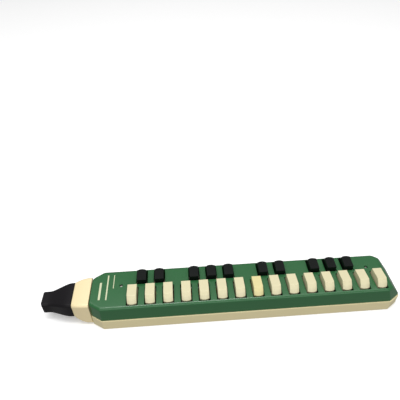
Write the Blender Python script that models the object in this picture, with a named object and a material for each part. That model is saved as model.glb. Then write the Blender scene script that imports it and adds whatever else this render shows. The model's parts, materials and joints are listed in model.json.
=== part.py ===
"""A 25-key mouth-blown reed organ (soprano melodica), built as separate pieces.

Frame: +X runs from the mouthpiece to the closed end, +Z is up, the white keys face -Y.
The origin is under the middle of the whole instrument, on the surface it rests on.
Sizes below are in millimetres and are turned into metres where the meshes are made.
"""
import math

import bmesh
import bpy

MM = 0.001
GAP = 0.3                     # clearance between two pieces that touch

# Overall
X_TIP = -195.0                # blowing end of the mouthpiece
X_END = 195.0                 # closed end of the base
SEAM_Z = 14.4                 # top of the base's wall
COVER_TOP = 34.0
CORNER_X, CORNER_Y = 12.0, 7.8    # plan size of the four cut corners

# Keyboard
PITCH = 19.0                  # white key to white key
WHITE_COUNT = 15
FIRST_WHITE_X = -95.2
SHARPS_AFTER = (1, 2, 4, 5, 6, 8, 9, 11, 12, 13)   # a black key follows these white keys
NOTE_NAMES = "CDEFGAB"
FIRST_OCTAVE = 4
KEY_WIDTH = 9.8
KEY_TOP, KEY_HEEL_TOP = 41.0, 39.8      # the white cap's top rises towards its finger end
SLOT_SIDE_GAP = 1.2
PIVOT_Y, PIVOT_Z = 2.9, 22.5
ROD_R = 1.5
PAD_REACH = 11.0              # pivot to the middle of the pad
PAD_R, PAD_Z0, PAD_Z1 = 4.2, 16.8, 18.8
# Distances from the pivot towards the finger end, at mid width
WHITE_CAP = dict(heel=2.5, top=18.0, knee=21.9, foot=24.0, slot=25.0)
BLACK_CAP = dict(heel=2.5, top=16.3, knee=17.6, foot=18.3, slot=19.8)
CAP_BULGE = 1.4               # how far the cap's end bows out in plan

# Base, reed plate and valve board
BASE_HALF_W = 26.6
BASE_X0 = -140.6
CHAMBER_FLOOR, LEDGE_Z = 2.0, 11.5
PLATE_Z0, PLATE_Z1 = 11.8, 12.8
BOARD_Z0, BOARD_Z1 = 13.1, 16.5
HOLE_R = 2.6

# Cover
COVER_HALF_W = 25.7
COVER_X0, COVER_X1 = -140.5, 194.3
COVER_WALL = 1.8
END_LEAN, LEAN_START_Z = 11.6, 16.8    # how far the closed end slopes in at the top, and from where
SCREWS = {"cover_screw_left": (-108.0, 4.2), "cover_screw_right": (163.4, 7.6)}
BOSS_R = 2.7

# Neck and mouthpiece
NECK_X0, NECK_X1 = -159.4, -140.9      # mouthpiece side, body side
AIR_Z = 20.2                           # height of the mouthpiece's axis
MOUTH_X1 = -159.7
SPIGOT_X0 = -171.5

COLOURS = {
    "green_cover": ((0.045, 0.19, 0.075), 0.28, 0.0),
    "cream_shell": ((0.72, 0.62, 0.38), 0.38, 0.0),
    "cream_neck": ((0.80, 0.66, 0.42), 0.38, 0.0),
    "ivory_key": ((0.85, 0.80, 0.56), 0.35, 0.0),
    "black_key": ((0.012, 0.012, 0.014), 0.35, 0.0),
    "black_mouthpiece": ((0.012, 0.012, 0.013), 0.38, 0.0),
    "brass": ((0.72, 0.50, 0.20), 0.35, 1.0),
    "board": ((0.60, 0.55, 0.42), 0.5, 0.0),
    "steel": ((0.62, 0.62, 0.60), 0.3, 1.0),
    "felt": ((0.50, 0.42, 0.30), 0.9, 0.0),
}


def clear_scene():
    for obj in list(bpy.data.objects):
        bpy.data.objects.remove(obj, do_unlink=True)


def material(name):
    found = bpy.data.materials.get(name)
    if found:
        return found
    colour, roughness, metallic = COLOURS[name]
    made = bpy.data.materials.new(name)
    made.use_nodes = True
    shader = made.node_tree.nodes["Principled BSDF"]
    shader.inputs["Base Color"].default_value = (*colour, 1.0)
    shader.inputs["Roughness"].default_value = roughness
    shader.inputs["Metallic"].default_value = metallic
    return made


def add_object(name, mesh, slot=None, location=(0, 0, 0), turn=0.0):
    """Links an object at a place given in millimetres, turned about Z."""
    obj = bpy.data.objects.new(name, mesh)
    bpy.context.scene.collection.objects.link(obj)
    obj.location = [c * MM for c in location]
    obj.rotation_euler = (0, 0, turn)
    if slot and not mesh.materials:
        mesh.materials.append(material(slot))
    return obj


def mesh_of(name, parts):
    """One mesh from several (points, faces) shells; each shell is closed."""
    points, faces = [], []
    for shell_points, shell_faces in parts:
        start = len(points)
        points += [tuple(c * MM for c in p) for p in shell_points]
        faces += [tuple(start + i for i in f) for f in shell_faces]
    mesh = bpy.data.meshes.new(name)
    mesh.from_pydata(points, [], faces)
    work = bmesh.new()
    work.from_mesh(mesh)
    bmesh.ops.recalc_face_normals(work, faces=work.faces)
    work.to_mesh(mesh)
    work.free()
    return mesh


def loft(rings):
    """A closed shell through rings that have the same number of points, capped at both ends."""
    count = len(rings[0])
    points = [p for ring in rings for p in ring]
    faces = [tuple(range(count)), tuple(range(len(points) - count, len(points)))]
    for level in range(len(rings) - 1):
        low, high = level * count, (level + 1) * count
        for i in range(count):
            j = (i + 1) % count
            faces.append((low + i, low + j, high + j, high + i))
    return points, faces


def box(x0, x1, y0, y1, z0, z1):
    ring = [(x0, y0), (x1, y0), (x1, y1), (x0, y1)]
    return loft([[(x, y, z) for x, y in ring] for z in (z0, z1)])


def circle(a, b, radius, sides):
    """Points around (a, b), with a flat rather than a corner facing each axis."""
    turns = [2 * math.pi * (i + 0.5) / sides for i in range(sides)]
    return [(a + radius * math.cos(t), b + radius * math.sin(t)) for t in turns]


def disc(x, y, radius, z0, z1, sides=12):
    return loft([[(px, py, z) for px, py in circle(x, y, radius, sides)] for z in (z0, z1)])


def bar_x(x0, x1, y, z, radius, sides=12):
    """A round bar along X."""
    return loft([[(x, py, pz) for py, pz in circle(y, z, radius, sides)] for x in (x0, x1)])


def combine(target, tool_parts, operation, name):
    """Adds a Boolean modifier whose tool is a hidden helper object."""
    tool = add_object(f"helper_{target.name}_{name}", mesh_of(name, tool_parts))
    tool.hide_render = True
    tool.display_type = "WIRE"
    step = target.modifiers.new(name, "BOOLEAN")
    step.operation = operation
    step.object = tool
    return tool


def smooth(obj, angle=35.0):
    obj.data.shade_smooth()
    obj.data.set_sharp_from_angle(angle=math.radians(angle))


def plan(x0, x1, half_w, inset=0.0, lean=0.0):
    """The body's outline from above: a rectangle with cut corners.

    The neck's end stays nearly upright as the sides draw in, and the closed end draws in by lean too.
    """
    left, right, side = x0 + 0.3 * inset, x1 - inset - lean, half_w - inset
    flat = side - CORNER_Y
    end_x, end_flat = CORNER_X - 0.55 * lean, flat + 0.3 * lean
    return [
        (left, -flat), (left + CORNER_X, -side), (right - end_x, -side), (right, -end_flat),
        (right, end_flat), (right - end_x, side), (left + CORNER_X, side), (left, flat),
    ]


def plan_loft(x0, x1, half_w, levels, leaning=False):
    rings = []
    for z, inset in levels:
        rise = max(0.0, z - LEAN_START_Z) / (COVER_TOP - LEAN_START_Z)
        lean = END_LEAN * rise if leaning else 0.0
        rings.append([(x, y, z) for x, y in plan(x0, x1, half_w, inset, lean)])
    return loft(rings)


def rounded_section(x, half_w, z0, z1, radius, steps=4):
    """A rounded rectangle in the YZ plane at one X."""
    ring = []
    for cy, cz, start in (
        (half_w - radius, z1 - radius, 0), (radius - half_w, z1 - radius, 90),
        (radius - half_w, z0 + radius, 180), (half_w - radius, z0 + radius, 270),
    ):
        for i in range(steps + 1):
            a = math.radians(start + 90 * i / steps)
            ring.append((x, cy + radius * math.cos(a), cz + radius * math.sin(a)))
    return ring


def white_x(number):
    return FIRST_WHITE_X + (number - 1) * PITCH


def note_name(number, sharp=False):
    letter = NOTE_NAMES[(number - 1) % 7]
    octave = FIRST_OCTAVE + (number - 1) // 7
    return f"{letter.lower()}{'_sharp' if sharp else ''}{octave}"


def keys():
    """(name, x, is_black) of each key, from the low end."""
    found = [(f"white_key_{note_name(n)}", white_x(n), False) for n in range(1, WHITE_COUNT + 1)]
    found += [(f"black_key_{note_name(n, True)}", white_x(n) + PITCH / 2, True) for n in SHARPS_AFTER]
    return found


def smoothstep(t):
    t = min(1.0, max(0.0, t))
    return t * t * (3 - 2 * t)


# ---------------------------------------------------------------- body


def make_base():
    """The lower shell: the tray, the wind chamber and the ledge that the reed plate lies on."""
    rim = [(0.0, 1.2), (0.35, 0.4), (1.2, 0.0), (SEAM_Z, 0.0)]
    shell = plan_loft(BASE_X0, X_END, BASE_HALF_W, rim)
    base = add_object("base_shell", mesh_of("base_shell", [shell]), "cream_shell")
    tray = plan_loft(BASE_X0 + 1.8, X_END, BASE_HALF_W, [(LEDGE_Z, 2.6), (SEAM_Z + 5, 2.6)])
    combine(base, [tray], "DIFFERENCE", "tray")
    chamber = box(-136, 186, -19, 19, CHAMBER_FLOOR, LEDGE_Z + 1)
    combine(base, [chamber], "DIFFERENCE", "wind_chamber")
    combine(base, [box(BASE_X0 - 3, -135, -9.3, 9.3, 3.4, 10.8)], "DIFFERENCE", "inlet")
    smooth(base)


def make_cover():
    """The green upper shell with its key slots and two screw holes."""
    outside = [(SEAM_Z + GAP, 0.0), (LEAN_START_Z, 0.1), (30.8, 0.75), (32.4, 1.2), (33.4, 2.1),
               (COVER_TOP, 3.9)]
    shell = plan_loft(COVER_X0, COVER_X1, COVER_HALF_W, outside, leaning=True)
    cover = add_object("top_cover", mesh_of("top_cover", [shell]), "green_cover")
    inside = [(SEAM_Z - 3, COVER_WALL), (LEAN_START_Z, 1.9), (30.5, 2.6), (COVER_TOP - COVER_WALL, 4.2)]
    hollow = plan_loft(COVER_X0 + 1.4, COVER_X1 - 0.4, COVER_HALF_W, inside, leaning=True)
    combine(cover, [hollow], "DIFFERENCE", "inside")
    combine(cover, [slot_box(x, black) for _, x, black in keys()], "DIFFERENCE", "key_slots")
    sinks = [disc(x, y, 2.5, 32.8, COVER_TOP + 2) for x, y in SCREWS.values()]
    combine(cover, sinks, "DIFFERENCE", "screw_sinks")
    holes = [disc(x, y, 1.6, 30.0, 33.5) for x, y in SCREWS.values()]
    combine(cover, holes, "DIFFERENCE", "screw_holes")
    smooth(cover)


def slot_box(x, black):
    """The cutter for one key's slot, with room for the key's swing."""
    cap = BLACK_CAP if black else WHITE_CAP
    side = 1 if black else -1
    near = PIVOT_Y + side * (cap["heel"] - 0.7)
    far = PIVOT_Y + side * cap["slot"]
    y0, y1 = sorted((near, far))
    half = KEY_WIDTH / 2 + SLOT_SIDE_GAP
    return box(x - half, x + half, y0, y1, 26.1, COVER_TOP + 3)


def make_valve_board():
    """The board over the reed plate: a tone hole under each pad, rod posts and screw bosses."""
    outline = [(BOARD_Z0, 3.8), (BOARD_Z1, 3.8)]
    shell = plan_loft(BASE_X0 + 3.5, X_END - 5.5, BASE_HALF_W, outline)
    board = add_object("valve_board", mesh_of("valve_board", [shell]), "board")
    posts = [
        box(x - 1.5, x + 1.5, PIVOT_Y - 2.8, PIVOT_Y + 2.8, BOARD_Z1 - 1, PIVOT_Z + 3.2)
        for x in post_places()
    ]
    combine(board, posts, "UNION", "rod_posts")
    bosses = [disc(x, y, BOSS_R, BOARD_Z1 - 1, 31.9) for x, y in SCREWS.values()]
    combine(board, bosses, "UNION", "screw_bosses")
    tone_holes = [
        disc(x, pad_y(black), HOLE_R, BOARD_Z0 - 1, BOARD_Z1 + 1, 8) for _, x, black in keys()
    ]
    combine(board, tone_holes, "DIFFERENCE", "tone_holes")
    pilots = [disc(x, y, 1.4, 21.5, 33.0, 8) for x, y in SCREWS.values()]
    combine(board, pilots, "DIFFERENCE", "screw_pilots")
    bearing = bar_x(-105.2, 181.0, PIVOT_Y, PIVOT_Z, ROD_R + GAP)
    combine(board, [bearing], "DIFFERENCE", "rod_bearings")
    smooth(board)


def post_places():
    """The rod's posts stand at its ends and where white keys have no black key between them."""
    return [
        white_x(1) - 8.0, white_x(3) + PITCH / 2, white_x(7) + PITCH / 2,
        white_x(10) + PITCH / 2, white_x(15) + 8.0,
    ]


def pad_y(black):
    return PIVOT_Y + (-PAD_REACH if black else PAD_REACH)


def make_reed_plate():
    """The brass plate: one slot and one fixed tongue for each note, longest at the low end."""
    blank = box(-130, 182, -20.5, 20.5, PLATE_Z0, PLATE_Z1)
    plate = add_object("reed_plate", mesh_of("reed_plate", [blank]), "brass")
    ordered = sorted(keys(), key=lambda k: k[1])
    slots, tongues = [], []
    for order, (_, x, black) in enumerate(ordered):
        length = 24.0 - 11.0 * order / (len(ordered) - 1)
        side = -1 if black else 1
        root = pad_y(black) + side * 2.2
        tip = root - side * length
        y0, y1 = sorted((root, tip))
        slots.append(box(x - 1.3, x + 1.3, y0, y1, PLATE_Z0 - 1, PLATE_Z1 + 1))
        blade = sorted((root + side * 2.4, tip + side * 0.4))
        tongues.append(box(x - 1.0, x + 1.0, *blade, PLATE_Z0 - 0.35, PLATE_Z0 + 0.15))
    combine(plate, slots, "DIFFERENCE", "reed_slots")
    combine(plate, tongues, "UNION", "reed_tongues")


def make_rod():
    ends = post_places()[0] - 1.3, post_places()[-1] + 1.3
    rod = mesh_of("pivot_rod", [bar_x(*ends, PIVOT_Y, PIVOT_Z, ROD_R)])
    smooth(add_object("pivot_rod", rod, "steel"))


def make_spring_comb():
    """A sprung strip under the rod, with a finger for each key, drawn as a pressed key bends it."""
    strip = box(white_x(1) - 5, white_x(15) + 5, PIVOT_Y - 5.2, PIVOT_Y + 5.2, 16.8, 17.3)
    comb = add_object("spring_comb", mesh_of("spring_comb", [strip]), "brass")
    fingers = []
    for _, x, black in keys():
        side = 1 if black else -1
        profile = [(4.2, 16.9), (5.6, 16.9), (9.2, 21.6), (10.6, 21.9), (8.9, 22.1), (4.2, 17.2)]
        fingers.append(
            loft([[(x + dx, PIVOT_Y + side * u, z) for u, z in profile] for dx in (-1.4, 1.4)])
        )
    combine(comb, fingers, "UNION", "fingers")
    windows = [box(x - 1.9, x + 1.9, PIVOT_Y - 3.2, PIVOT_Y + 3.2, 16, 18) for x in post_places()[1:-1]]
    screw_x, screw_y = SCREWS["cover_screw_right"]
    windows.append(disc(screw_x, screw_y, BOSS_R + 0.5, 16, 18))
    combine(comb, windows, "DIFFERENCE", "clearances")


def make_screws():
    for name, (x, y) in SCREWS.items():
        screw = add_object(name, mesh_of(name, [disc(x, y, 2.1, 33.1, 33.8)]), "steel")
        combine(screw, [disc(x, y, 1.0, 22.6, 33.4, 8)], "UNION", "shank")
        combine(screw, [box(x - 3, x + 3, y - 0.3, y + 0.3, 33.5, 34.5)], "DIFFERENCE", "driver_slot")


# ---------------------------------------------------------------- keys


def cap_shell(cap):
    """The cap: u runs from the pivot to the finger end, which slopes out and bows in plan."""
    heel, top, knee, foot = cap["heel"], cap["top"], cap["knee"], cap["foot"]
    fixed = [(heel + 8.0, 24.7), (heel, 24.7), (heel, KEY_HEEL_TOP - 0.5), (heel + 0.5, KEY_HEEL_TOP)]
    moving = [
        (top, KEY_TOP), (top + 0.45 * (knee - top), KEY_TOP - 1.0), (knee, KEY_TOP - 3.5),
        (foot, COVER_TOP), (foot - 0.6, 30.0), (foot - 4.0, 29.0),
    ]
    rings = []
    for share in (-1.0, -0.5, 0.5, 1.0):
        back = CAP_BULGE * share * share
        ring = fixed + [(u - back, z) for u, z in moving]
        rings.append([(share * KEY_WIDTH / 2, -u, z - PIVOT_Z) for u, z in ring])
    return loft(rings)


def lever_shells(cap):
    """The lever's arm, the seat over its pad and the hub around the rod."""
    reach = cap["heel"] + 7.0
    arm = [
        (-6.0, 20.2), (-13.0, 19.6), (-13.0, 20.9), (-3.0, 24.1),
        (reach, 26.5), (reach, 24.4), (3.0, 20.4),
    ]
    arm_shell = loft([[(dx, -u, z - PIVOT_Z) for u, z in arm] for dx in (-2.7, 2.7)])
    seat = box(-3.6, 3.6, PAD_REACH - 3.6, PAD_REACH + 3.6, PAD_Z1 + GAP - PIVOT_Z, 20.4 - PIVOT_Z)
    hub = bar_x(-2.5, 2.5, 0.0, 0.0, 3.2, 10)
    return arm_shell, seat, hub


def make_keys():
    """Each key turns about the rod's axis; the black keys are turned to face +Y."""
    meshes = {
        False: build_key_mesh(WHITE_CAP, "ivory_key"),
        True: build_key_mesh(BLACK_CAP, "black_key"),
    }
    pad_shell = disc(0, PAD_REACH, PAD_R, PAD_Z0 - PIVOT_Z, PAD_Z1 - PIVOT_Z, 10)
    pad_mesh = mesh_of("key_pad", [pad_shell])
    for name, x, black in keys():
        place = (x, PIVOT_Y, PIVOT_Z)
        turn = math.pi if black else 0.0
        key = add_object(name, meshes[black], location=place, turn=turn)
        smooth(key)
        add_object(f"pad_{name.split('key_')[1]}", pad_mesh, "felt", location=place, turn=turn)


def build_key_mesh(cap, slot):
    """Joins the key's shapes once and bores the hub, so that every copy shares one mesh."""
    work = add_object("key_work", mesh_of("key_work", [cap_shell(cap)]), slot)
    tools = []
    for i, shell in enumerate(lever_shells(cap)):
        tools.append(combine(work, [shell], "UNION", f"join{i}"))
    bore = bar_x(-6, 6, 0, 0, ROD_R + GAP, 10)
    tools.append(combine(work, [bore], "DIFFERENCE", "bore"))
    bpy.context.view_layer.update()
    graph = bpy.context.evaluated_depsgraph_get()
    mesh = bpy.data.meshes.new_from_object(work.evaluated_get(graph))
    mesh.name = f"{slot}_mesh"
    for obj in [work, *tools]:
        bpy.data.objects.remove(obj, do_unlink=True)
    return mesh


# ---------------------------------------------------------------- blowing end


def neck_section(share, shrink=0.0):
    """The neck from the body (0) to the mouthpiece (1): it narrows late."""
    ease = share ** 2.3
    x = NECK_X1 + (NECK_X0 - NECK_X1) * share
    half_w = 19.2 - 3.4 * ease
    z0, z1 = 1.2 + 9.1 * ease, 33.7 - 2.7 * ease
    return rounded_section(x, half_w - shrink, z0 + shrink, z1 - shrink, 3.5 - 0.4 * shrink, 3)


def make_neck():
    """The hollow neck: a spigot for the mouthpiece in front and a tongue into the chamber behind."""
    outer = loft([neck_section(i / 5) for i in range(6)])
    neck = add_object("neck", mesh_of("neck", [outer]), "cream_neck")
    spigot_x = (NECK_X0 + 2.5, SPIGOT_X0)
    front = loft([rounded_section(x, 9.0, AIR_Z - 7.0, AIR_Z + 7.0, 2.5, 2) for x in spigot_x])
    combine(neck, [front], "UNION", "spigot")
    combine(neck, [box(NECK_X1 - 1.5, -135.2, -9.0, 9.0, 3.7, 10.5)], "UNION", "tongue")
    hollow = [neck_section(0.1 + 0.78 * i / 3, shrink=2.2) for i in range(4)]
    combine(neck, [loft(hollow)], "DIFFERENCE", "hollow")
    front_way = box(SPIGOT_X0 - 2, NECK_X0 + 4, -7.0, 7.0, AIR_Z - 5.0, AIR_Z + 5.0)
    combine(neck, [front_way], "DIFFERENCE", "front_way")
    combine(neck, [box(NECK_X1 - 6, -133, -7.4, 7.4, 4.6, 9.7)], "DIFFERENCE", "rear_way")
    smooth(neck)


def mouth_section(share):
    """The mouthpiece from the neck (0) to its tip (1)."""
    ease = smoothstep((share - 0.05) / 0.77)
    x = MOUTH_X1 + (X_TIP - MOUTH_X1) * share
    half_w = 15.8 - 6.4 * ease
    half_h = 10.35 - 2.85 * ease
    middle = 20.65 - 1.55 * ease
    return rounded_section(x, half_w, middle - half_h, middle + half_h, 3.5 - 0.8 * ease, 3)


def make_mouthpiece():
    """The mouthpiece: pushed over the neck's spigot, with a flat airway at its tip."""
    shell = loft([mouth_section(i / 7) for i in range(8)])
    mouth = add_object("mouthpiece", mesh_of("mouthpiece", [shell]), "black_mouthpiece")
    socket = [
        rounded_section(x, 9.0 + GAP, AIR_Z - 7.0 - GAP, AIR_Z + 7.0 + GAP, 2.5, 2)
        for x in (MOUTH_X1 + 2, SPIGOT_X0 - 0.5)
    ]
    combine(mouth, [loft(socket)], "DIFFERENCE", "socket")
    airway = [
        rounded_section(x, half_w, AIR_Z - 0.8 - half_h, AIR_Z - 0.8 + half_h, 1.2, 2)
        for x, half_w, half_h in ((SPIGOT_X0 + 0.5, 7.5, 5.0), (-180.0, 6.4, 3.6), (X_TIP - 2, 6.4, 3.2))
    ]
    combine(mouth, [loft(airway)], "DIFFERENCE", "airway")
    smooth(mouth, 50)


def main():
    clear_scene()
    make_base()
    make_reed_plate()
    make_valve_board()
    make_spring_comb()
    make_rod()
    make_keys()
    make_cover()
    make_screws()
    make_neck()
    make_mouthpiece()


main()
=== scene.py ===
"""The melodica's finished look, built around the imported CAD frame."""
import json
import math

import bmesh
import bpy
from mathutils import Matrix, Vector


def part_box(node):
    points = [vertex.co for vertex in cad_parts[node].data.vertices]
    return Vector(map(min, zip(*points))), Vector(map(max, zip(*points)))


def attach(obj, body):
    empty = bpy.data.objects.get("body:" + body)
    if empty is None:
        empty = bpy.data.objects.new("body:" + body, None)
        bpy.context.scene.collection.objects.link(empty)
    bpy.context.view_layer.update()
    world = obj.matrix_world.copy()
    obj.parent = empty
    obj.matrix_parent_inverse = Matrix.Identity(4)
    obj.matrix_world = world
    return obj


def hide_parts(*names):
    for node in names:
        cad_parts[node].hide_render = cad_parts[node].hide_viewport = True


MM = 0.001
BEVEL_ANGLE, SMOOTH_ANGLE, CURVED_ANGLE = (math.radians(a) for a in (28, 32, 40))
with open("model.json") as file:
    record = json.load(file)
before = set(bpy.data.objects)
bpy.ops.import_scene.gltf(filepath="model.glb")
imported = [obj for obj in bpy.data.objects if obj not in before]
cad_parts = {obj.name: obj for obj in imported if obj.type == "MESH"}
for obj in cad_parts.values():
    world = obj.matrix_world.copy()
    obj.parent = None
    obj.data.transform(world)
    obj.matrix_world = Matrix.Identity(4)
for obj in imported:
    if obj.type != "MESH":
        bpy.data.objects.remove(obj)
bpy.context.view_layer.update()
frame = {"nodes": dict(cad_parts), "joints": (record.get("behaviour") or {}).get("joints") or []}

# ---------------------------------------------------------------- sizes read from the frame, in mm


def extent(node):
    low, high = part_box(node)
    return [c / MM for c in low], [c / MM for c in high]


COVER_LO, COVER_HI = extent("top_cover")
BASE_LO, BASE_HI = extent("base_shell")
NECK_LO = extent("neck")[0]
MOUTH_LO, MOUTH_HI = extent("mouthpiece")
TOP = COVER_HI[2]
SEAM = COVER_LO[2]
HINGES = {j["child"]: j for j in frame["joints"] if j["type"] == "hinge"}
PIVOT_Y, PIVOT_Z = (c / MM for c in HINGES["key_c4"]["pos_m"][1:])
WHITE_LO, WHITE_HI = extent("white_key_c4")
BLACK_HI = extent("black_key_c_sharp4")[1]
KEY_WIDTH = WHITE_HI[0] - WHITE_LO[0]
SCREWS = ("cover_screw_left", "cover_screw_right")

# ---------------------------------------------------------------- driving sizes, in mm

# Body: the cut corners, how far the closed end leans in, and from which height
CORNER_X, CORNER_Y = 12.0, 7.8
CORNER_RADII = (2.2, 2.2, 2.0, 1.5, 3.5, 6.5, 7.0, 7.0)
END_LEAN, LEAN_START_Z = 11.6, 16.8
COVER_EDGE_RADIUS = 3.2

# Keys, as distances from the pivot: heel, top's far end, knee and foot of the finger end
WHITE_CAP = (2.5, 18.0, 21.9, 24.0)
BLACK_CAP = (2.5, 16.3, 17.6, 18.3)
HEEL_TOP = 39.8
SLOT_NEAR, WHITE_SLOT_FAR, BLACK_SLOT_FAR = 1.8, 25.0, 19.8
SLOT_SIDE_GAP = 1.2
ROD_WAY_R, HUB_R = 1.8, 3.2

# Screws, sunk below the cover's top
SINK_R, SINK_DEPTH, HEAD_DROP, HEAD_R = 1.8, 1.8, 1.0, 1.5

# Blowing end
GAP = 0.3
MOUTH_JOINT_X = MOUTH_HI[0]
MOUTH_TIP_X = MOUTH_LO[0] + 0.6
NECK_OUTER_X = MOUTH_JOINT_X + GAP
NECK_BODY_X = BASE_LO[0] - GAP
AIR_Z = 20.2
SPIGOT_HALF_W, SPIGOT_HALF_H = 9.0, 7.0
SECTION_STEPS = 7

# ---------------------------------------------------------------- materials


def linear(red, green, blue):
    """Display colour out of 255 to the renderer's linear colour."""
    found = []
    for c in (red, green, blue):
        c /= 255
        found.append(c / 12.92 if c <= 0.04045 else ((c + 0.055) / 1.055) ** 2.4)
    return (*found, 1.0)


def surface(name, colour, rough, mottle, grain, metallic=0.0, coat=0.0, sheen=0.0, gloss=0.5):
    """A Principled material whose colour and roughness drift a little, with a fine bump."""
    made = bpy.data.materials.new(name)
    made.use_nodes = True
    nodes, links = made.node_tree.nodes, made.node_tree.links
    shader = nodes["Principled BSDF"]
    place = nodes.new("ShaderNodeTexCoord")
    broad = nodes.new("ShaderNodeTexNoise")
    broad.inputs["Scale"].default_value = 45.0
    broad.inputs["Detail"].default_value = 4.0
    links.new(place.outputs["Object"], broad.inputs["Vector"])
    mix = nodes.new("ShaderNodeMix")
    mix.data_type = "RGBA"
    mix.inputs[6].default_value = tuple(c * (1 - mottle) for c in colour[:3]) + (1.0,)
    mix.inputs[7].default_value = tuple(min(1, c * (1 + mottle)) for c in colour[:3]) + (1.0,)
    links.new(broad.outputs["Fac"], mix.inputs[0])
    links.new(mix.outputs[2], shader.inputs["Base Color"])
    spread = nodes.new("ShaderNodeMapRange")
    spread.inputs["To Min"].default_value = rough * 0.85
    spread.inputs["To Max"].default_value = min(1.0, rough * 1.15)
    links.new(broad.outputs["Fac"], spread.inputs["Value"])
    links.new(spread.outputs["Result"], shader.inputs["Roughness"])
    shader.inputs["Metallic"].default_value = metallic
    shader.inputs["Specular IOR Level"].default_value = gloss
    shader.inputs["Coat Weight"].default_value = coat
    shader.inputs["Coat Roughness"].default_value = 0.12
    shader.inputs["Sheen Weight"].default_value = sheen
    if grain:
        fine = nodes.new("ShaderNodeTexNoise")
        fine.inputs["Scale"].default_value = 900.0
        fine.inputs["Detail"].default_value = 3.0
        links.new(place.outputs["Object"], fine.inputs["Vector"])
        bump = nodes.new("ShaderNodeBump")
        bump.inputs["Strength"].default_value = grain
        bump.inputs["Distance"].default_value = 0.0002
        links.new(fine.outputs["Fac"], bump.inputs["Height"])
        links.new(bump.outputs["Normal"], shader.inputs["Normal"])
    return made


GREEN = surface("green_plastic", linear(44, 99, 57), 0.22, 0.04, 0.04, coat=0.1, gloss=0.45)
CREAM = surface("cream_plastic", linear(234, 221, 174), 0.36, 0.03, 0.05)
NECK = surface("neck_plastic", linear(244, 226, 180), 0.36, 0.02, 0.05)
IVORY = surface("ivory_plastic", linear(222, 214, 176), 0.34, 0.03, 0.03)
AGED = surface("aged_ivory_plastic", linear(226, 214, 156), 0.34, 0.04, 0.03)
BLACK = surface("black_plastic", linear(10, 15, 13), 0.36, 0.1, 0.08, gloss=0.12)
MOUTH = surface("mouthpiece_plastic", linear(20, 18, 21), 0.38, 0.1, 0.1, gloss=0.18)
BRASS = surface("rolled_brass", linear(206, 168, 96), 0.32, 0.1, 0.1, metallic=1.0)
STEEL = surface("bright_steel", linear(176, 174, 168), 0.3, 0.08, 0.05, metallic=1.0)
BOARD = surface("board_plastic", linear(110, 106, 90), 0.6, 0.06, 0.1)
FELT = surface("felt_pad", linear(120, 108, 86), 0.95, 0.2, 0.5, sheen=0.4)
PRINT = surface("printed_cream", linear(205, 208, 172), 0.5, 0.1, 0.0)
FLOOR = surface("pale_floor", linear(254, 254, 254), 0.8, 0.002, 0.0, gloss=0.1)

# ---------------------------------------------------------------- mesh helpers


def new_object(name, shells, material, bevel=0.0):
    """One object from closed shells in mm; sharp edges may be rounded before smoothing."""
    points, faces = [], []
    for shell_points, shell_faces in shells:
        start = len(points)
        points += [tuple(c * MM for c in p) for p in shell_points]
        faces += [tuple(start + i for i in f) for f in shell_faces]
    mesh = bpy.data.meshes.new(name)
    mesh.from_pydata(points, [], faces)
    work = bmesh.new()
    work.from_mesh(mesh)
    bmesh.ops.recalc_face_normals(work, faces=work.faces)
    if bevel:
        sharp = [e for e in work.edges if e.calc_face_angle(0) > BEVEL_ANGLE]
        bmesh.ops.bevel(
            work, geom=sharp, offset=bevel * MM, offset_type="OFFSET", segments=3,
            profile=0.5, affect="EDGES", clamp_overlap=True,
        )
    work.to_mesh(mesh)
    work.free()
    mesh.materials.append(material)
    mesh.shade_smooth()
    mesh.set_sharp_from_angle(angle=SMOOTH_ANGLE)
    obj = bpy.data.objects.new(name, mesh)
    bpy.context.scene.collection.objects.link(obj)
    return obj


def loft(rings):
    """A closed shell through rings of equally many points, capped at both ends."""
    count = len(rings[0])
    points = [p for ring in rings for p in ring]
    faces = [tuple(range(count)), tuple(range(len(points) - count, len(points)))]
    for level in range(len(rings) - 1):
        low, high = level * count, (level + 1) * count
        for i in range(count):
            j = (i + 1) % count
            faces.append((low + i, low + j, high + j, high + i))
    return points, faces


def box(x0, x1, y0, y1, z0, z1):
    """A closed shell between two corners."""
    ring = [(x0, y0), (x1, y0), (x1, y1), (x0, y1)]
    return loft([[(x, y, z) for x, y in ring] for z in (z0, z1)])


def circle(a, b, radius, sides=32):
    """Points round (a, b)."""
    turns = [2 * math.pi * i / sides for i in range(sides)]
    return [(a + radius * math.cos(t), b + radius * math.sin(t)) for t in turns]


def disc(x, y, levels):
    """A turned shape: levels are (z, radius)."""
    return loft([[(px, py, z) for px, py in circle(x, y, radius)] for z, radius in levels])


def tube_along_x(radius, half_length):
    """A round bar along X through the origin."""
    return loft([[(x, y, z) for y, z in circle(0, 0, radius, 24)] for x in (-half_length, half_length)])


def rounded_polygon(corners, radii, steps=5):
    """Rounds each corner of a convex outline with its own radius."""
    found = []
    for i, corner in enumerate(corners):
        here = Vector(corner)
        before = (Vector(corners[i - 1]) - here).normalized()
        after = (Vector(corners[(i + 1) % len(corners)]) - here).normalized()
        half = before.angle(after) / 2
        reach = radii[i] / math.tan(half)
        centre = here + (before + after).normalized() * radii[i] / math.sin(half)
        a = here + before * reach - centre
        b = here + after * reach - centre
        turn = a.angle_signed(b)
        for k in range(steps + 1):
            spot = centre + Matrix.Rotation(-turn * k / steps, 2) @ a
            found.append((spot.x, spot.y))
    return found


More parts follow.
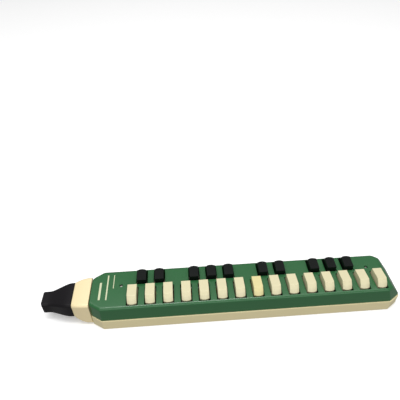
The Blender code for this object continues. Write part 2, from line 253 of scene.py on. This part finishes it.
def plan(low, high, inset, lean=0.0):
    """The body's outline from above: cut corners, and a neck end that stays nearly upright."""
    left, right, side = low[0] + 0.3 * inset, high[0] - inset - lean, high[1] - inset
    flat = side - CORNER_Y
    end_x, end_flat = CORNER_X - 0.55 * lean, flat + 0.3 * lean
    corners = [
        (left, -flat), (left + CORNER_X, -side), (right - end_x, -side), (right, -end_flat),
        (right, end_flat), (right - end_x, side), (left + CORNER_X, side), (left, flat),
    ]
    return rounded_polygon(corners, CORNER_RADII)


def plan_rings(low, high, levels, leaning=False):
    """Outlines at (height, inset); a leaning closed end slopes in from the seam to the top."""
    rings = []
    for z, inset in levels:
        rise = max(0.0, z - LEAN_START_Z) / (TOP - LEAN_START_Z)
        lean = END_LEAN * rise if leaning else 0.0
        rings.append([(x, y, z) for x, y in plan(low, high, inset, lean)])
    return rings


def quarter(z_edge, inset_edge, radius, steps):
    """Levels of a rounded edge: it starts at the wall and ends on the flat."""
    found = []
    for k in range(steps + 1):
        t = math.pi / 2 * k / steps
        found.append((z_edge + radius * math.sin(t), inset_edge + radius * (1 - math.cos(t))))
    return found


def cut(target, shells, name):
    """Cuts with a helper that is removed again, so that the finished mesh stands alone."""
    tool = new_object("cutter_" + name, shells, GREEN)
    step = target.modifiers.new(name, "BOOLEAN")
    step.operation = "DIFFERENCE"
    step.solver = "EXACT"
    step.object = tool
    bpy.context.view_layer.update()
    graph = bpy.context.evaluated_depsgraph_get()
    made = bpy.data.meshes.new_from_object(target.evaluated_get(graph))
    target.modifiers.remove(step)
    target.data = made
    bpy.data.objects.remove(tool, do_unlink=True)


def even_normals(obj):
    """Weighs the shading by face area, so that flats stay flat beside rounded edges."""
    step = obj.modifiers.new("even_normals", "WEIGHTED_NORMAL")
    step.keep_sharp = True
    step.weight = 100


def finish_piece(obj, body, nodes):
    """Puts a piece on its body in place of the CAD nodes that it details."""
    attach(obj, body)
    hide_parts(*nodes)


# ---------------------------------------------------------------- body


def make_base():
    """The cream tray: a rounded lower edge, a soft rim and a hollow that the ledges stand in."""
    wall_top, foot_radius = BASE_HI[2], 1.2
    foot = [(foot_radius - z, inset) for z, inset in quarter(0, 0, foot_radius, 5)]
    levels = sorted({(0.0, 1.6), *foot})
    levels += [(wall_top - 0.35, 0.0), (wall_top - 0.1, 0.1), (wall_top, 0.35), (wall_top, 2.6)]
    levels += [(11.5, 2.6), (11.5, 8.0), (2.0, 8.0)]
    base = new_object("look_base", [loft(plan_rings(BASE_LO, BASE_HI, levels))], CREAM)
    even_normals(base)
    finish_piece(base, "body", ["base_shell"])


def slot_ring(x, y0, y1, grow, z):
    """The outline of a key slot at height z, wider by grow on each side."""
    half = KEY_WIDTH / 2 + SLOT_SIDE_GAP + grow
    corners = [(x - half, y0 - grow), (x + half, y0 - grow), (x + half, y1 + grow), (x - half, y1 + grow)]
    return [(px, py, z) for px, py in rounded_polygon(corners, [0.7] * 4, 3)]


def slot_cutter(x, black):
    """The way that one key moves in, with a softened upper edge."""
    side, far = (1, BLACK_SLOT_FAR) if black else (-1, WHITE_SLOT_FAR)
    y0, y1 = sorted((PIVOT_Y + side * SLOT_NEAR, PIVOT_Y + side * far))
    flare = [(TOP - 6, 0.0), (TOP - 0.4, 0.0), (TOP - 0.15, 0.08), (TOP - 0.02, 0.3), (TOP + 1, 0.9)]
    return loft([slot_ring(x, y0, y1, grow, z) for z, grow in flare])


def middle(node):
    """The middle of a node's box, seen from above."""
    low, high = extent(node)
    return (low[0] + high[0]) / 2, (low[1] + high[1]) / 2


def make_cover():
    """The green shell: rounded upper edges, a slot for each key and a sunk hole for each screw."""
    edge = quarter(TOP - COVER_EDGE_RADIUS, 0.75, COVER_EDGE_RADIUS, 8)
    outside = [(SEAM, 0.15), (SEAM + 0.25, 0.0), (LEAN_START_Z, 0.1), *edge, (TOP, 4.4)]
    cover = new_object("look_cover", [loft(plan_rings(COVER_LO, COVER_HI, outside, True))], GREEN)
    inside = [(SEAM - 3, 1.8), (LEAN_START_Z, 1.9), (TOP - 3.5, 2.6), (TOP - 2.5, 3.1), (TOP - 1.8, 4.2)]
    inner_low = (COVER_LO[0] + 1.4, *COVER_LO[1:])
    inner_high = (COVER_HI[0] - 0.4, *COVER_HI[1:])
    cut(cover, [loft(plan_rings(inner_low, inner_high, inside, True))], "inside")
    slots = [slot_cutter(joint["pos_m"][0] / MM, "sharp" in body) for body, joint in HINGES.items()]
    cut(cover, slots, "slots")
    floor_z = TOP - SINK_DEPTH
    levels = [(TOP - 6, 1.2), (floor_z - 0.1, 1.2), (floor_z, SINK_R - 0.05)]
    levels += [(TOP - 0.15, SINK_R), (TOP + 1, 2.7)]
    sinks = [disc(*middle(name), levels) for name in SCREWS]
    cut(cover, sinks, "screw_sinks")
    cover.data.set_sharp_from_angle(angle=SMOOTH_ANGLE)
    even_normals(cover)
    finish_piece(cover, "body", ["top_cover"])


def make_screws():
    """Each screw: a rounded steel head with a straight slot, and its shank below."""
    for name in SCREWS:
        low, high = extent(name)
        x, y = middle(name)
        top = high[2] - HEAD_DROP
        profile = [(top - 1.0, 1.0), (top - 0.7, HEAD_R - 0.05), (top - 0.3, HEAD_R)]
        profile += [(top - 0.1, 1.3), (top, 0.9)]
        screw = new_object("look_" + name, [disc(x, y, profile)], STEEL)
        cut(screw, [box(x - 3, x + 3, y - 0.28, y + 0.28, top - 0.45, top + 1)], "slot")
        shank = disc(x, y, [(low[2], 0.9), (top - 0.8, 1.0)])
        stem = new_object("look_shank_" + name, [shank], STEEL)
        stem.parent = screw
        screw.data.set_sharp_from_angle(angle=math.radians(35))
        finish_piece(screw, "body", [name])


def make_print():
    """Plain printed ornament near the blowing end: three stripes, with no lettering."""
    z = TOP - 0.01
    stripes = ((-131.2, -129.0, -12.8, 9.4), (-123.4, -122.0, -13.4, 18.8), (-116.6, -115.8, 1.0, 18.8))
    rows = [box(x0, x1, y0, y1, z, z + 0.035) for x0, x1, y0, y1 in stripes]
    ornament = new_object("look_print", rows, PRINT)
    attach(ornament, "body")


# ---------------------------------------------------------------- keys


def cap_rings(heel, top, knee, foot, key_top):
    """Rings across the width: the finger end slopes out and bows, in the key's own axes."""
    rings = []
    for k in range(13):
        share = -1 + k / 6
        back = 1.4 * abs(share) ** 2.2
        profile = [(heel + 8.0, 24.7), (heel, 24.7), (heel, HEEL_TOP), (top - back, key_top)]
        steps = [(0.05, 0.12), (0.25, 0.8), (0.5, 1.7), (0.75, 2.6), (1.0, 3.5)]
        profile += [(top - back + u * (knee - top), key_top - drop) for u, drop in steps]
        profile += [(foot - back, TOP), (foot - 0.6 - back, 30.0), (foot - 4.0 - back, 29.0)]
        rings.append([(share * KEY_WIDTH / 2, -u, z - PIVOT_Z) for u, z in profile])
    return rings


def lever_shells(heel):
    """The hidden arm from the cap over the pivot to the pad, the pad's seat and the hub round the rod."""
    reach = heel + 7.0
    arm = [
        (-6.0, 20.2), (-13.0, 19.6), (-13.0, 20.9), (-3.0, 24.1), (reach, 26.5), (reach, 24.4), (3.0, 20.4),
    ]
    arm_shell = loft([[(dx, -u, z - PIVOT_Z) for u, z in arm] for dx in (-2.7, 2.7)])
    seat = box(-3.6, 3.6, 7.4, 14.6, 19.1 - PIVOT_Z, 20.4 - PIVOT_Z)
    return [arm_shell, seat, tube_along_x(HUB_R, 2.5)]


def make_key_mesh(name, cap_sizes, key_top, material):
    """One mesh for every key of a kind, drawn round the pivot: the cap with its lever."""
    cap = new_object(name + "_cap", [loft(cap_rings(*cap_sizes, key_top))], material, bevel=0.42)
    lever = new_object(name, lever_shells(cap_sizes[0]), material)
    cut(lever, [tube_along_x(ROD_WAY_R, 4)], "rod_way")
    joined = bmesh.new()
    joined.from_mesh(cap.data)
    joined.from_mesh(lever.data)
    mesh = bpy.data.meshes.new(name + "_mesh")
    joined.to_mesh(mesh)
    joined.free()
    mesh.materials.append(material)
    mesh.shade_smooth()
    mesh.set_sharp_from_angle(angle=CURVED_ANGLE)
    for obj in (cap, lever):
        bpy.data.objects.remove(obj, do_unlink=True)
    return mesh


def make_keys():
    """A key on each hinge: black ones turned about to face the back, and the middle c yellowed."""
    meshes = {
        "white": make_key_mesh("white_key_look", WHITE_CAP, WHITE_HI[2], IVORY),
        "aged": make_key_mesh("aged_key_look", WHITE_CAP, WHITE_HI[2], AGED),
        "black": make_key_mesh("black_key_look", BLACK_CAP, BLACK_HI[2], BLACK),
    }
    for body, joint in HINGES.items():
        note = body[len("key_"):]
        dark = "sharp" in note
        kind = "black" if dark else "aged" if note == "c5" else "white"
        key = bpy.data.objects.new("look_" + body, meshes[kind])
        bpy.context.scene.collection.objects.link(key)
        key.location = joint["pos_m"]
        key.rotation_euler = (0, 0, math.pi if dark else 0)
        even_normals(key)
        node = ("black_key_" if dark else "white_key_") + note
        finish_piece(key, body, [node])


# ---------------------------------------------------------------- blowing end


def section(x, half_w, z0, z1, radius, bow=0.0):
    """A rounded rectangle across X; bow draws its sides back along X, so that the middle leads."""
    ring = []
    for cy, cz, start in (
        (half_w - radius, z1 - radius, 0), (radius - half_w, z1 - radius, 90),
        (radius - half_w, z0 + radius, 180), (half_w - radius, z0 + radius, 270),
    ):
        for i in range(SECTION_STEPS + 1):
            a = math.radians(start + 90 * i / SECTION_STEPS)
            y = cy + radius * math.cos(a)
            ring.append((x + bow * (y / half_w) ** 2, y, cz + radius * math.sin(a)))
    return ring


def neck_section(share, shrink=0.0):
    """The neck's outline, from the body (share 0) to the mouthpiece (share 1)."""
    ease = share ** 2.3
    x = NECK_BODY_X + (NECK_OUTER_X - NECK_BODY_X) * share
    half_w = 19.2 - 3.4 * ease
    z0, z1 = 1.2 + 9.1 * ease, 33.7 - 2.7 * ease
    radius = max(0.6, 3.2 - 0.6 * shrink)
    return section(x, half_w - shrink, z0 + shrink, z1 - shrink, radius)


def airway_section(x, half_w, half_h, radius=2.5, z=AIR_Z):
    """A section of a passage or a pipe round the airway's line."""
    return section(x, half_w, z - half_h, z + half_h, radius)


def make_neck():
    """The cream neck, bored through, with the spigot that the mouthpiece fits on."""
    rings = [neck_section(0.0, 0.15), *[neck_section(0.02 + 0.95 * i / 16) for i in range(17)]]
    rings += [neck_section(0.99, 0.15), neck_section(1.0, 0.5), neck_section(1.0, 4.2)]
    outer = loft(rings)
    ends = NECK_OUTER_X + 1, NECK_LO[0] + 0.4
    spigot = loft([airway_section(x, SPIGOT_HALF_W, SPIGOT_HALF_H) for x in ends])
    neck = new_object("look_neck", [outer], NECK)
    pipe = new_object("look_spigot", [spigot], NECK, bevel=0.3)
    for piece in (neck, pipe):
        cut(piece, [box(NECK_LO[0] - 3, NECK_OUTER_X + 9, -7.0, 7.0, AIR_Z - 5.0, AIR_Z + 5.0)], "way")
        piece.data.set_sharp_from_angle(angle=CURVED_ANGLE)
        even_normals(piece)
    finish_piece(neck, "body", ["neck"])
    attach(pipe, "body")


def smoothstep(t):
    """Rises from 0 to 1 with level ends."""
    t = min(1.0, max(0.0, t))
    return t * t * (3 - 2 * t)


def mouth_section(share, shrink=0.0):
    """The mouthpiece's outline, from the neck (share 0) to the tip (share 1)."""
    ease = smoothstep((share - 0.05) / 0.77)
    x = MOUTH_JOINT_X + (MOUTH_TIP_X - MOUTH_JOINT_X) * share
    half_w = 15.8 - 6.4 * ease
    half_h = 10.35 - 2.85 * ease
    centre_z = 20.65 - 1.55 * ease
    bow = 1.7 * smoothstep((share - 0.5) / 0.5)
    low, high = centre_z - half_h + shrink, centre_z + half_h - shrink
    return section(x, half_w - shrink, low, high, max(0.8, 3.0 - 0.4 * ease - 0.5 * shrink), bow)


def make_mouthpiece():
    """The black mouthpiece: a socket for the spigot, and a flattened airway out to the tip."""
    shares = [0.012 + 0.958 * i / 24 for i in range(25)]
    rings = [mouth_section(0.0, 0.4), *[mouth_section(s) for s in shares]]
    rings += [mouth_section(0.988, 0.15), mouth_section(0.997, 0.5), mouth_section(1.0, 1.1)]
    mouth = new_object("look_mouthpiece", [loft(rings)], MOUTH)
    ends = MOUTH_JOINT_X + 2, NECK_LO[0] - 0.4
    socket = loft([airway_section(x, SPIGOT_HALF_W + GAP, SPIGOT_HALF_H + GAP) for x in ends])
    steps = (NECK_LO[0] + 0.6, 7.5, 5.0), (-180.0, 6.4, 3.6), (MOUTH_LO[0] - 2, 6.4, 3.2)
    airway = loft([airway_section(*step, 1.2, AIR_Z - 0.8) for step in steps])
    cut(mouth, [socket], "socket")
    cut(mouth, [airway], "airway")
    mouth.data.set_sharp_from_angle(angle=CURVED_ANGLE)
    even_normals(mouth)
    finish_piece(mouth, "mouthpiece", ["mouthpiece"])


# ---------------------------------------------------------------- inner pieces, kept from the CAD


def dress_inner_nodes():
    """Gives the CAD solids inside the body their materials."""
    looks = {"reed_plate": BRASS, "spring_comb": BRASS, "valve_board": BOARD, "pivot_rod": STEEL}
    for name, node in frame["nodes"].items():
        look = FELT if name.startswith("pad_") else looks.get(name)
        if look:
            node.data.materials.clear()
            node.data.materials.append(look)


# ---------------------------------------------------------------- stage


def area(name, place, aim, size, power):
    """A rectangular light at place, in metres, facing aim."""
    light = bpy.data.lights.new(name, "AREA")
    light.shape = "RECTANGLE"
    light.size, light.size_y = size
    light.energy = power
    obj = bpy.data.objects.new(name, light)
    bpy.context.scene.collection.objects.link(obj)
    obj.location = place
    obj.rotation_euler = (Vector(aim) - Vector(place)).to_track_quat("-Z", "Y").to_euler()


def make_floor():
    """A pale floor that glows faintly and throws nothing back on the object."""
    shader = FLOOR.node_tree.nodes["Principled BSDF"]
    shader.inputs["Emission Color"].default_value = (1, 1, 1, 1)
    shader.inputs["Emission Strength"].default_value = 0.2
    floor = new_object("stage_floor", [box(-3000, 3000, -3000, 3000, -20, -0.05)], FLOOR)
    floor.visible_diffuse = False
    floor.visible_glossy = False


def make_lights():
    """Even studio light: a broad one above, a low one in front and a narrow one for the cover's edge."""
    world = bpy.data.worlds.new("studio")
    world.use_nodes = True
    background = world.node_tree.nodes["Background"]
    background.inputs["Color"].default_value = (1, 1, 1, 1)
    background.inputs["Strength"].default_value = 0.30
    bpy.context.scene.world = world
    area("over", (0.0, 0.0, 2.2), (0, 0, 0), (3.0, 3.0), 43)
    area("front", (0.0, -1.6, 0.5), (0, 0, 0), (2.4, 0.9), 10)
    area("strip", (-0.063, -0.04, 0.75), (-0.063, -0.04, 0), (0.43, 0.06), 1.4)


def make_camera():
    """A camera at the studio's viewing angle: a little left of the middle, about 41 degrees up."""
    azimuth, elevation, roll = math.radians(-3.21), math.radians(40.92), math.radians(-1.21)
    level = math.cos(elevation)
    back = Vector((math.sin(azimuth) * level, -math.cos(azimuth) * level, math.sin(elevation)))
    right = (-back).cross(Vector((0, 0, 1))).normalized()
    up = right.cross(-back)
    turned_right = right * math.cos(roll) + up * math.sin(roll)
    turned_up = -right * math.sin(roll) + up * math.cos(roll)
    data = bpy.data.cameras.new("camera")
    data.sensor_width = 36
    data.lens = 35.72
    data.clip_start = 0.01
    camera = bpy.data.objects.new("camera", data)
    bpy.context.scene.collection.objects.link(camera)
    turn = Matrix((turned_right, turned_up, back)).transposed().to_4x4()
    camera.matrix_world = Matrix.Translation((-0.0358, -0.2651, 0.3834)) @ turn
    bpy.context.scene.camera = camera


make_base()
make_cover()
make_screws()
make_print()
make_keys()
make_neck()
make_mouthpiece()
dress_inner_nodes()
make_floor()
make_lights()
make_camera()
bpy.context.scene.view_settings.view_transform = "Standard"
